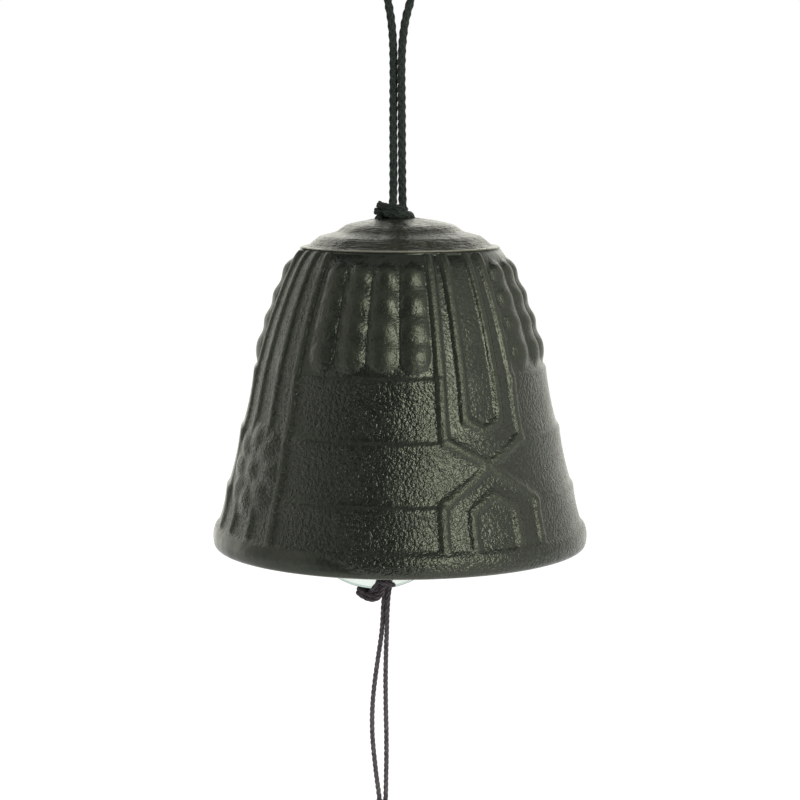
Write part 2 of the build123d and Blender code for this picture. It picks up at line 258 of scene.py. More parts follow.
class Shader:
    """Node tree of one material, from its coordinates to its surface."""

    def __init__(self, name: str) -> None:
        """Start an empty tree with an output and one Principled surface."""
        self.material = bpy.data.materials.new(name)
        self.material.use_nodes = True
        self.tree = self.material.node_tree
        self.tree.nodes.clear()
        self.surface = self.add("ShaderNodeBsdfPrincipled", {})
        self.add("ShaderNodeOutputMaterial", {"Surface": self.surface.outputs["BSDF"]})

    def add(self, kind: str, inputs: dict[str | int, Any], **settings: Any) -> bpy.types.Node:
        """Add a node, set its properties, and set or link its inputs.

        Args:
            kind: the node's type.
            inputs: a socket to link from or a value, by the input's name or number.
            settings: properties of the node itself.

        Returns:
            The new node.
        """
        node = self.tree.nodes.new(kind)
        for key, value in settings.items():
            setattr(node, key, value)
        self.wire(node, inputs)
        return node

    def wire(self, node: bpy.types.Node, inputs: dict[str | int, Any]) -> None:
        """Set or link a node's inputs.

        Args:
            node: the node.
            inputs: a socket to link from or a value, by the input's name or number.
        """
        for key, value in inputs.items():
            if isinstance(value, bpy.types.NodeSocket):
                self.tree.links.new(value, node.inputs[key])
            else:
                node.inputs[key].default_value = value


@dataclass(frozen=True)
class LacqueredIron:
    """Sand-cast iron under a thin satin lacquer, green-black, browner where the crown was brushed.

    The mould's sand leaves grains on the wall; ridges, lip and crown were rubbed smooth before the
    lacquer. Cast iron under lacquer reflects like the lacquer, so it isn't a bare metal.
    """

    wall: str = "1B1E1C"
    # painted shade: darker colour for the low spots between the sand grains
    hollow: str = "111412"
    rubbed: str = "22261E"
    crown: str = "27261F"
    # painted highlight: paler colour for the line along the ring's top edge
    worn: str = "6A675F"
    inside: str = "171816"
    shine: str = "F3F7E6"
    grain: float = 0.64
    fine_grain: float = 0.3
    grain_depth: float = 0.205
    swell: float = 7.0
    streak: float = 0.75
    roughness: float = 0.25

    def material(self) -> bpy.types.Material:
        """Build the material.

        It reads the bell's sand, crown, inside, relief, worn and turned attributes; worn marks a painted
        highlight along the ring's top edge.

        Returns:
            The finished material.
        """
        shader = Shader("lacquered_cast_iron")
        place = shader.add("ShaderNodeTexCoord", {}).outputs["Object"]
        names = ("sand", "crown", "inside", "relief", "worn")
        marks = {
            name: shader.add("ShaderNodeAttribute", {}, attribute_name=name).outputs["Fac"] for name in names
        }
        turned = shader.add("ShaderNodeAttribute", {}, attribute_name="turned").outputs["Vector"]
        grain = shader.add(
            "ShaderNodeTexNoise",
            {"Vector": place, "Scale": 1 / (self.grain * MM), "Detail": 1.0, "Roughness": 0.5},
        ).outputs["Fac"]
        fine = shader.add(
            "ShaderNodeTexNoise",
            {"Vector": place, "Scale": 1 / (self.fine_grain * MM), "Detail": 1.0},
        ).outputs["Fac"]
        swell = shader.add(
            "ShaderNodeTexNoise",
            {"Vector": place, "Scale": 1 / (self.swell * MM), "Detail": 3.0, "Roughness": 0.5},
        ).outputs["Fac"]
        streak = shader.add(
            "ShaderNodeTexNoise",
            {"Vector": turned, "Scale": 1 / (self.streak * MM), "Detail": 3.0, "Roughness": 0.6},
        ).outputs["Fac"]

        # Colour: painted shade in the low spots between the grains, paler on ridges, a painted highlight
        # along the ring's top edge, browner on the crown
        pit_shade = shader.add(
            "ShaderNodeMapRange", {"Value": grain, 1: 0.38, 2: 0.62, 3: 0.0, 4: 1.0}
        ).outputs["Result"]
        # painted shade: the hollow colour darkens the low spots of the grain
        wall = shader.add(
            "ShaderNodeMix", {0: pit_shade, 6: linear(self.hollow), 7: linear(self.wall)}, data_type="RGBA"
        ).outputs[2]
        ridge = shader.add(
            "ShaderNodeMath", {0: marks["relief"], 1: swell}, operation="MULTIPLY"
        ).outputs[0]
        rubbed = shader.add(
            "ShaderNodeMix", {0: ridge, 6: wall, 7: linear(self.rubbed)}, data_type="RGBA"
        ).outputs[2]
        brushed = shader.add(
            "ShaderNodeMapRange", {"Value": streak, 1: 0.35, 2: 0.68, 3: 0.35, 4: 1.0}
        ).outputs["Result"]
        brown = shader.add(
            "ShaderNodeMath", {0: marks["crown"], 1: brushed}, operation="MULTIPLY"
        ).outputs[0]
        crowned = shader.add(
            "ShaderNodeMix", {0: brown, 6: rubbed, 7: linear(self.crown)}, data_type="RGBA"
        ).outputs[2]
        # painted highlight: the worn mark paints a paler line along the ring's top edge
        ring_highlighted = shader.add(
            "ShaderNodeMix", {0: marks["worn"], 6: crowned, 7: linear(self.worn)}, data_type="RGBA"
        ).outputs[2]
        colour = shader.add(
            "ShaderNodeMix", {0: marks["inside"], 6: ring_highlighted, 7: linear(self.inside)}, data_type="RGBA"
        ).outputs[2]

        # Height: sand grains where the mould's skin is left, streaks on the crown, a slow swell all over
        grains = shader.add(
            "ShaderNodeMath", {0: fine, 1: 0.45, 2: grain}, operation="MULTIPLY_ADD"
        ).outputs[0]
        sanded = shader.add("ShaderNodeMath", {0: grains, 1: marks["sand"]}, operation="MULTIPLY").outputs[0]
        streaked = shader.add(
            "ShaderNodeMath", {0: streak, 1: marks["crown"]}, operation="MULTIPLY"
        ).outputs[0]
        rough = shader.add(
            "ShaderNodeMath", {0: streaked, 1: 2.2, 2: sanded}, operation="MULTIPLY_ADD"
        ).outputs[0]
        beaten = shader.add(
            "ShaderNodeMath", {0: marks["crown"], 1: 3.0, 2: 1.6}, operation="MULTIPLY_ADD"
        ).outputs[0]
        height = shader.add(
            "ShaderNodeMath", {0: swell, 1: beaten, 2: rough}, operation="MULTIPLY_ADD"
        ).outputs[0]
        normal = shader.add(
            "ShaderNodeBump", {"Height": height, "Distance": self.grain_depth * MM, "Strength": 1.0}
        ).outputs["Normal"]
        gloss = shader.add(
            "ShaderNodeMapRange",
            {"Value": swell, 1: 0.3, 2: 0.7, 3: self.roughness - 0.05, 4: self.roughness + 0.07},
        ).outputs["Result"]
        satin = shader.add(
            "ShaderNodeMath", {0: marks["relief"], 1: 0.12, 2: gloss}, operation="MULTIPLY_ADD"
        ).outputs[0]
        shader.wire(
            shader.surface,
            {
                "Base Color": colour,
                "Roughness": satin,
                "Normal": normal,
                "Specular IOR Level": 0.5,
                "Specular Tint": linear(self.shine),
            },
        )
        return shader.material


@dataclass(frozen=True)
class SpunFibre:
    """Dyed spun thread: matt, with fine fibres along each yarn and a little sheen from loose ends.

    Single fibres are far too fine to show, so the streaks are drawn about as wide as a bundle of them.
    """

    name: str
    dark: str
    light: str
    streak: float = 0.12
    depth: float = 0.05
    roughness: float = 0.7

    def material(self) -> bpy.types.Material:
        """Build the material, which reads the cord's lay attribute."""
        shader = Shader(self.name)
        lay = shader.add("ShaderNodeAttribute", {}, attribute_name="lay").outputs["Vector"]
        streak = shader.add(
            "ShaderNodeTexNoise",
            {"Vector": lay, "Scale": 1 / (self.streak * MM), "Detail": 2.0, "Roughness": 0.6},
        ).outputs["Fac"]
        share = shader.add(
            "ShaderNodeMapRange", {"Value": streak, 1: 0.35, 2: 0.72, 3: 0.0, 4: 1.0}
        ).outputs["Result"]
        colour = shader.add(
            "ShaderNodeMix", {0: share, 6: linear(self.dark), 7: linear(self.light)}, data_type="RGBA"
        ).outputs[2]
        normal = shader.add(
            "ShaderNodeBump", {"Height": streak, "Distance": self.depth * MM}
        ).outputs["Normal"]
        shader.wire(
            shader.surface,
            {
                "Base Color": colour,
                "Roughness": self.roughness,
                "Normal": normal,
                "Sheen Weight": 0.12,
                "Sheen Roughness": 0.4,
                "Specular IOR Level": 0.2,
            },
        )
        return shader.material


@dataclass(frozen=True)
class ClearGlass:
    """Cut sheet glass with ground and fire-polished edges: clear, faintly green in its depth."""

    tint: str = "E6EEE8"
    edge: str = "6A9C90"
    middle: Point = (-4.4, 0.0, -105.1)
    radius: float = 15.2
    edge_width: float = 0.28
    ior: float = 1.5
    ripple: float = 9.0

    def material(self) -> bpy.types.Material:
        """Build the material, with the slow ripple of sheet glass."""
        shader = Shader("clear_sheet_glass")
        place = shader.add("ShaderNodeTexCoord", {}).outputs["Object"]
        ripple = shader.add(
            "ShaderNodeTexNoise", {"Vector": place, "Scale": 1 / (self.ripple * MM), "Detail": 1.0}
        ).outputs["Fac"]
        normal = shader.add("ShaderNodeBump", {"Height": ripple, "Distance": 0.02 * MM}).outputs["Normal"]
        gloss = shader.add(
            "ShaderNodeMapRange", {"Value": ripple, 1: 0.3, 2: 0.7, 3: 0.0, 4: 0.04}
        ).outputs["Result"]

        # Colour: the edge is looked through along the sheet, so its green shows there
        flat = shader.add(
            "ShaderNodeVectorMath", {0: place, 1: (1.0, 0.0, 1.0)}, operation="MULTIPLY"
        ).outputs[0]
        centre = tuple(value * MM for value in self.middle)
        reach = shader.add(
            "ShaderNodeVectorMath", {0: flat, 1: centre}, operation="DISTANCE"
        ).outputs["Value"]
        inner, outer = (self.radius - self.edge_width) * MM, (self.radius - 0.5 * self.edge_width) * MM
        share = shader.add("ShaderNodeMapRange", {"Value": reach, 1: inner, 2: outer}).outputs["Result"]
        colour = shader.add(
            "ShaderNodeMix", {0: share, 6: linear(self.tint), 7: linear(self.edge)}, data_type="RGBA"
        ).outputs[2]
        shader.wire(
            shader.surface,
            {
                "Base Color": colour,
                "Roughness": gloss,
                "Normal": normal,
                "IOR": self.ior,
                "Transmission Weight": 1.0,
            },
        )
        return shader.material


@dataclass(frozen=True)
class HandmadePaper:
    """Mulberry paper: off-white, matt, with long pale and darker fibres pressed into it."""

    sheet: str = "EFE6D2"
    fibre: str = "D9CBAE"
    fibre_width: float = 0.35
    cloud: float = 9.0

    def material(self) -> bpy.types.Material:
        """Build the material, with fibres that lie in all directions and a cloudy sheet."""
        shader = Shader("handmade_paper")
        place = shader.add("ShaderNodeTexCoord", {}).outputs["Object"]
        cloud = shader.add(
            "ShaderNodeTexNoise", {"Vector": place, "Scale": 1 / (self.cloud * MM), "Detail": 4.0}
        ).outputs["Fac"]
        fibre = shader.add(
            "ShaderNodeTexWave",
            {
                "Vector": place,
                "Scale": 1 / (20 * self.fibre_width * MM),
                "Distortion": 14.0,
                "Detail": 4.0,
                "Detail Scale": 1.5,
            },
        ).outputs["Fac"]
        line = shader.add(
            "ShaderNodeMapRange", {"Value": fibre, 1: 0.9, 2: 1.0, 3: 0.0, 4: 0.35}
        ).outputs["Result"]
        share = shader.add("ShaderNodeMath", {0: cloud, 1: 0.5, 2: line}, operation="MULTIPLY_ADD").outputs[0]
        colour = shader.add(
            "ShaderNodeMix", {0: share, 6: linear(self.sheet), 7: linear(self.fibre)}, data_type="RGBA"
        ).outputs[2]
        normal = shader.add("ShaderNodeBump", {"Height": share, "Distance": 0.05 * MM}).outputs["Normal"]
        shader.wire(
            shader.surface,
            {"Base Color": colour, "Roughness": 0.85, "Normal": normal, "Specular IOR Level": 0.2},
        )
        return shader.material


@dataclass
class Relief:
    """Cast relief of the bell's wall: ridges in four bands, bosses between them, two lotus seats.

    A ridge's height is a bump across the distance to its line, drawn on the wall unrolled to arc
    length and height. A boss is a swelling along a rounded rib, and a lotus is a ring of low domes.
    """

    band_azimuths: tuple[float, ...] = (31.0, 121.0, 211.0, 301.0)
    ridge_half_width: float = 1.2
    ridge_height: float = 0.5
    outer_angle: float = 15.8
    outer_corner: float = 24.2
    outer_point: float = 19.4
    inner_angle: float = 7.4
    straight_angle: float = 5.4
    inner_corner: float = 27.7
    inner_point: float = 25.4
    gable_angle: float = 17.5
    gable_eaves: float = 12.7
    arch_angle: float = 8.0
    arch_eaves: float = 11.5
    arch_point: float = 14.3
    foot: float = 4.8
    shoulder: float = 57.6
    boss_pitch_angle: float = 12.9
    boss_columns: int = 4
    boss_rows: tuple[float, ...] = (39.6, 44.3, 49.0, 53.7)
    boss_foot: float = 3.6
    boss_top: float = 2.1
    boss_height: float = 1.0
    rib_height: float = 0.57
    panel_turn: float = 45.8
    lotus_height: float = 17.2
    lotus_radius: float = 9.2
    lotus_petals: int = 8
    petal_half_length: float = 3.3
    petal_half_width: float = 2.75
    petal_height: float = 0.58
    pad_height: float = 0.3
    pad_rise: float = 0.22
    eye_radius: float = 3.1

    def lines(self, crossed: bool) -> list[list[Flat]]:
        """Ridge lines of a band, as polylines of (azimuth from its middle, height).

        Args:
            crossed: whether the band has the crossing and gable, or runs straight under a lotus.

        Returns:
            List of polylines.
        """
        if not crossed:
            angles = (-self.outer_angle, -self.straight_angle, self.straight_angle, self.outer_angle)
            return [[(angle, self.shoulder), (angle, self.foot)] for angle in angles]
        shapes = (
            (self.outer_angle, self.shoulder, self.outer_corner, self.outer_point),
            (self.inner_angle, self.shoulder, self.inner_corner, self.inner_point),
            (self.gable_angle, self.foot, self.gable_eaves, self.outer_point),
            (self.arch_angle, self.foot, self.arch_eaves, self.arch_point),
        )
        return [
            [(angle, end), (angle, corner), (0.0, point), (-angle, corner), (-angle, end)]
            for angle, end, corner, point in shapes
        ]

    def ridge_share(
        self, turn: np.ndarray, height: np.ndarray, ground: np.ndarray, line: list[Flat]
    ) -> np.ndarray:
        """Bump across one ridge line: 1 on the line, 0 from its half width on.

        Args:
            turn: azimuth from the band's middle, in radians, at each point.
            height: height at each point.
            ground: radius of the plain wall at each point.
            line: the ridge's polyline.

        Returns:
            Array of shares from 0 to 1.
        """
        nearest = np.full(turn.shape, 1e9)
        for (angle, low), (next_angle, high) in zip(line, line[1:]):
            start_turn, end_turn = math.radians(angle), math.radians(next_angle)
            side = (end_turn - start_turn) * ground
            rise = high - low
            off_side = (turn - start_turn) * ground
            off_rise = height - low
            share = np.clip((off_side * side + off_rise * rise) / (side**2 + rise**2), 0.0, 1.0)
            nearest = np.minimum(nearest, np.hypot(off_side - share * side, off_rise - share * rise))
        return smoothstep(self.ridge_half_width, 0.3 * self.ridge_half_width, nearest)

    def ridges(self, azimuth: np.ndarray, height: np.ndarray, ground: np.ndarray) -> np.ndarray:
        """Share of ridge at each point of the wall, over all bands."""
        total = np.zeros(azimuth.shape)
        for index, middle in enumerate(self.band_azimuths):
            turn = self.turn(azimuth, middle)
            for line in self.lines(crossed=index % 2 == 0):
                total = np.maximum(total, self.ridge_share(turn, height, ground, line))
        return total

    def turn(self, azimuth: np.ndarray, middle: float) -> np.ndarray:
        """Azimuth from a middle line, in radians between -pi and pi."""
        return (azimuth - math.radians(middle) + math.pi) % (2 * math.pi) - math.pi

    def bosses(self, azimuth: np.ndarray, height: np.ndarray, ground: np.ndarray) -> np.ndarray:
        """Height of the boss panels: columns of ribs side by side, swelling into a boss at each row.

        Across a column the height falls off as one less the square of the distance from its middle, in
        half widths. Along it, it waves between rib and boss height, and rounds off at both ends.

        Args:
            azimuth: azimuth of each point, in radians.
            height: height of each point over the rim.
            ground: radius of the plain wall at each point; not used.

        Returns:
            Array of heights over the wall.
        """
        pitch = math.radians(self.boss_pitch_angle)
        first, last = self.boss_rows[0], self.boss_rows[-1]
        wave = 0.5 + 0.5 * np.cos(2 * math.pi * (height - first) / (self.boss_rows[1] - first))
        beyond = np.maximum((first - height) / self.boss_foot, (height - last) / self.boss_top)
        beyond = np.maximum(beyond, 0.0)
        total = np.zeros(azimuth.shape)
        for middle in self.band_azimuths:
            place = self.turn(azimuth, middle + self.panel_turn) / pitch + self.boss_columns / 2
            column = np.clip(np.floor(place), 0, self.boss_columns - 1)
            side = 2 * (place - column) - 1
            round_off = np.clip(1 - side**2 - beyond**2, 0.0, 1.0)
            crest = np.where(
                beyond > 0, self.boss_height, self.rib_height + wave * (self.boss_height - self.rib_height)
            )
            total = np.maximum(total, round_off * crest)
        return total

    def swelling(self, reach: np.ndarray) -> np.ndarray:
        """Half a cosine wave: 1 at the middle, 0 from a reach of 1 on, level at both."""
        return 0.5 + 0.5 * np.cos(math.pi * np.clip(reach, 0.0, 1.0))

    def lotus(self, azimuth: np.ndarray, height: np.ndarray, ground: np.ndarray) -> np.ndarray:
        """Height of the two lotus seats: a low pad with a ring of petals and an eye."""
        total = np.zeros(azimuth.shape)
        for middle in self.band_azimuths[1::2]:
            across = self.turn(azimuth, middle) * ground
            up = height - self.lotus_height
            reach = np.hypot(across, up)
            pad = smoothstep(self.lotus_radius + 0.3, self.lotus_radius - 0.9, reach) * self.pad_height
            pad = pad + self.swelling(reach / self.lotus_radius) * self.pad_rise
            step = 2 * math.pi / self.lotus_petals
            bearing = np.arctan2(up, across)
            local = bearing - np.round(bearing / step) * step
            middle_reach = self.lotus_radius - 0.4 - self.petal_half_length
            along = (reach * np.cos(local) - middle_reach) / self.petal_half_length
            aside = reach * np.sin(local) / self.petal_half_width
            petal = self.swelling(np.hypot(along, aside)) ** 0.7
            eye = self.swelling(reach / self.eye_radius)
            total = np.maximum(total, pad + np.maximum(petal, eye) * self.petal_height)
        return total

    def band_share(self, azimuth: np.ndarray) -> np.ndarray:
        """How far a point lies inside a band, where the wall's ledges fade out."""
        edge = math.radians(self.outer_angle)
        nearest = np.min([np.abs(self.turn(azimuth, middle)) for middle in self.band_azimuths], axis=0)
        return smoothstep(edge * 1.02, edge * 0.9, nearest)


@dataclass
class BellCasting:
    """The bell: a section carried round the axis, with the relief added along the wall's normal."""

    relief: Relief = field(default_factory=Relief)
    finish: LacqueredIron = field(default_factory=LacqueredIron)
    lines: tuple[Flat, ...] = ((35.75, 4.6), (33.6, 12.6), (30.8, 23.9), (28.15, 35.3))
    ledge: float = 0.45
    hollow: float = 0.3
    foot: tuple[Flat, ...] = ((35.3, 0.0), (35.75, 0.12), (36.05, 0.4), (36.22, 0.85))
    belly: Flat = (36.35, 1.7)
    mouth_radius: float = 32.85
    panel_middle: Flat = (24.6, 45.8)
    shoulder: Flat = (20.3, 56.1)
    crown: tuple[Flat, ...] = (
        (19.95, 56.6),
        (19.5, 57.1),
        (19.15, 57.45),
        (19.25, 57.68),
        (19.15, 57.92),
        (18.8, 58.08),
        (18.35, 58.08),
        (17.95, 57.92),
        (15.6, 59.92),
        (12.2, 60.8),
        (11.6, 61.2),
        (11.1, 61.7),
        (10.0, 62.2),
    )
    ring: tuple[float, float] = (17.85, 19.6)
    ring_height: float = 58.08
    crown_height: float = 63.5
    wall: float = 2.9
    inside_crown: Flat = (6.0, 59.4)
    holes: tuple[float, float] = (-4.9, 2.9)
    hole_radius: float = 1.15
    columns: int = 640
    sparse_columns: int = 160

    def outer_line(self) -> np.ndarray:
        """Section of the outside, from the mouth's edge round the lip, up the wall and in to the axis."""
        parts = [np.array([(self.mouth_radius + 0.2, 0.0)])]
        parts.append(np.array(self.foot[:-1]))
        parts.append(arc(self.foot[-1], self.belly, self.lines[0]))
        for (low_radius, low), (high_radius, high) in zip(self.lines, self.lines[1:]):
            share = np.linspace(0.0, 1.0, 24)
            radius = low_radius - self.ledge + share * (high_radius - low_radius + self.ledge)
            radius -= 4 * self.hollow * share * (1 - share)
            parts.append(np.stack([radius, low + share * (high - low)], axis=1))
        panel_foot = (self.lines[-1][0] - self.ledge, self.lines[-1][1])
        parts.append(arc(panel_foot, self.panel_middle, self.shoulder))
        parts.append(np.array(self.crown))
        edge, level = self.crown[-1]
        rise = self.crown_height - level
        share = np.linspace(0.05, 1.0, 20)
        parts.append(np.stack([edge * (1 - share), level + rise * (1 - (1 - share) ** 2)], axis=1))
        return np.concatenate(parts)

    def inner_line(self) -> np.ndarray:
        """Section of the inside, from the axis under the crown down to the mouth's edge."""
        wall = [(radius - self.ledge - self.wall, height) for radius, height in self.lines[:0:-1]]
        shoulder = (self.shoulder[0] - self.wall, self.shoulder[1] - self.wall)
        middle = (self.panel_middle[0] - self.wall, self.panel_middle[1])
        mouth = (self.mouth_radius, 0.3)
        points = [(0.0, self.inside_crown[1]), self.inside_crown, shoulder, middle, *wall, mouth]
        return np.array(points)

    def stations(self) -> tuple[np.ndarray, np.ndarray, np.ndarray]:
        """Choose the section's points: close together on the wall, wider on lip, crown and inside.

        Returns:
            Outside points, the same with the ledges smoothed away, and inside points.
        """
        raw = self.outer_line()
        sharp = softened(raw, 0.05, 0.15)
        worn = softened(raw, 0.05, 0.42)
        worn_part = (sharp[:, 1:] > 1.5) & (sharp[:, 1:] < self.panel_middle[1])
        fine = np.where(worn_part, worn, sharp)
        flat = softened(raw, 0.05, 2.2)
        plain = np.interp(fine[:, 1], *flat[flat[:, 1].argsort()].T[::-1])
        in_wall = (fine[:, 1] > 3.0) & (fine[:, 1] < self.shoulder[1] + 2.0)
        in_ring = (fine[:, 0] > self.ring[0]) & (fine[:, 0] < self.ring[1]) & (fine[:, 1] > self.shoulder[1])
        in_foot = (fine[:, 0] > self.foot[0][0]) & (fine[:, 1] < self.foot[-1][1] + 0.2)
        close = in_ring | in_foot
        density = np.where(close, 1 / 0.2, np.where(in_wall, 1 / 0.54, 1 / 0.75)) * 0.05
        count = np.cumsum(density) - density[0]
        chosen = np.interp(np.arange(int(count[-1]) + 1), count, np.arange(len(fine))).round().astype(int)
        chosen = chosen[fine[chosen, 0] > 0.3]
        smooth = fine.copy()
        smooth[:, 0] = plain
        inside = softened(self.inner_line(), 0.1, 1.6)[::22]
        inside = inside[inside[:, 0] > 0.3]
        return fine[chosen], smooth[chosen], inside

    def build(self) -> bpy.types.Object:
        """Carry the section round, raise the relief, drill the crown, and dress the casting."""
        outside, plain, inside = self.stations()
        tangent = np.gradient(outside, axis=0)
        tangent /= np.linalg.norm(tangent, axis=1)[:, None]
        normal = np.stack([tangent[:, 1], -tangent[:, 0]], axis=1)
        dense = outside[:, 1] < self.ring_height + 0.4
        azimuth = np.arange(self.columns) * 2 * math.pi / self.columns
        turn, height = np.meshgrid(azimuth, outside[:, 1])
        ground = np.repeat(outside[:, :1], self.columns, axis=1)
        on_wall = smoothstep(self.lines[0][1] - 0.2, self.lines[0][1] + 0.5, height)
        on_wall *= smoothstep(self.ring_height - 0.6, self.ring_height - 0.95, height)
        ridge = self.relief.ridges(turn, height, ground) * on_wall
        boss = self.relief.bosses(turn, height, ground) * on_wall
        lotus = self.relief.lotus(turn, height, ground) * on_wall
        proud = np.maximum(np.maximum(ridge * self.relief.ridge_height, boss), lotus)
        in_band = self.relief.band_share(turn) * on_wall
        base = ground + (plain[:, :1] - ground) * in_band
        radius = base + proud * normal[:, :1]
        level = height + proud * normal[:, 1:]

        # Sand: left on the wall, rubbed off ridges and bosses, and off the lip, wider on its left side
        left = smoothstep(-0.05, -0.45, np.sin(turn))
        lip_edge = 0.4 + 3.9 * left
        sand = smoothstep(lip_edge - 0.5, lip_edge + 0.6, height) * (1 - 0.8 * smoothstep(55.0, 57.0, height))
        rubbed = np.maximum(ridge * 0.15, np.clip(boss / self.relief.boss_height, 0.0, 1.0) * 0.5)
        for _, line in self.lines[1:]:
            rubbed = np.maximum(rubbed, 0.55 * np.exp(-(((height - line - 0.2) / 0.7) ** 2)) * (1 - in_band))
        rubbed = np.maximum(rubbed, 0.2 * in_band * smoothstep(22.0, 30.0, height))
        sand *= (1 - rubbed) * (1 + 0.45 * left) * (1 - 0.35 * smoothstep(34.5, 37.0, height))
        crown = smoothstep(57.5, 58.0, height)
        # painted highlight: a paler line along the ring's top edge, stored as the worn mark
        on_ring = (ground > self.ring[0] + 0.3) & (ground < self.ring[1])
        worn = smoothstep(self.ring_height - 0.4, self.ring_height - 0.2, height) * on_ring
        relief = np.maximum(ridge, np.clip(boss, 0.0, 1.0))

        # Rings of vertices: the inside from the axis to the mouth, then the outside back to the axis
        sparse = self.columns // self.sparse_columns
        points = [np.array([[0.0, 0.0, RIM_Z + self.inside_crown[1]]])]
        marks = [np.array([[0.0, 0.0, 1.0, 0.0, 0.0]])]
        counts = [1]
        thin = azimuth[::sparse]
        for r, h in inside:
            ring = np.stack([r * np.sin(thin), -r * np.cos(thin), np.full(thin.shape, RIM_Z + h)], axis=1)
            points.append(ring)
            marks.append(np.tile([0.35, 0.0, 1.0, 0.0, 0.0], (len(thin), 1)))
            counts.append(len(thin))
        for row in range(len(outside)):
            pick = slice(None) if dense[row] else slice(None, None, sparse)
            a, r, z = azimuth[pick], radius[row, pick], level[row, pick]
            points.append(np.stack([r * np.sin(a), -r * np.cos(a), RIM_Z + z], axis=1))
            zero = np.zeros(len(a))
            outer = [sand[row, pick], crown[row, pick], zero, relief[row, pick], worn[row, pick]]
            marks.append(np.stack(outer, axis=1))
            counts.append(len(a))
        points.append(np.array([[0.0, 0.0, RIM_Z + self.crown_height]]))
        marks.append(np.array([[0.0, 1.0, 0.0, 0.0, 0.0]]))
        counts.append(1)
        starts = np.concatenate([[0], np.cumsum(counts)])
        faces: Faces = []
        for index in range(len(counts) - 1):
            if counts[index] == 1 or counts[index + 1] == 1:
                tip = starts[index] if counts[index] == 1 else starts[index + 1]
                rim = starts[index + 1] if counts[index] == 1 else starts[index]
                spokes = np.arange(self.sparse_columns)
                fan = np.stack(
                    [np.full_like(spokes, tip), rim + spokes, rim + (spokes + 1) % len(spokes)], axis=1
                )
                faces += fan.tolist()
            else:
                faces += ring_faces(starts[index], counts[index], starts[index + 1], counts[index + 1])
        piece = make_object("bell_casting", np.concatenate(points), faces)
        self.mark(piece, np.concatenate(marks))
        cut_away(
            piece, pegs("crown_drill", [(x, 0.0, CROWN_Z) for x in self.holes], 2, self.hole_radius, 16.0)
        )
        piece.data.materials.append(self.finish.material())
        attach(piece, "bell")
        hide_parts("bell")
        return piece

    def mark(self, piece: bpy.types.Object, marks: np.ndarray) -> None:
        """Store what the finish needs to know at each vertex.

        Args:
            piece: the casting.
            marks: sand, crown, inside, relief and the worn mark, a painted highlight along the ring's top
                edge, at each vertex.
        """
        for column, name in enumerate(("sand", "crown", "inside", "relief", "worn")):
            paint(piece, name, marks[:, column])
        place = np.empty(len(piece.data.vertices) * 3)
        piece.data.vertices.foreach_get("co", place)
        x, y, z = place.reshape(-1, 3).T
        reach = np.hypot(x, y)
        round_size = 4.0 * MM
        turned = np.stack(
            [round_size * x / (reach + 1e-6), round_size * y / (reach + 1e-6), reach - z], axis=1
        )
        paint(piece, "turned", turned)


class RopeBuild(Enum):
    """How a cord's yarns go together."""

    TWISTED = "three plies laid round each other"
    BRAIDED = "eight yarns braided over and under round a core"


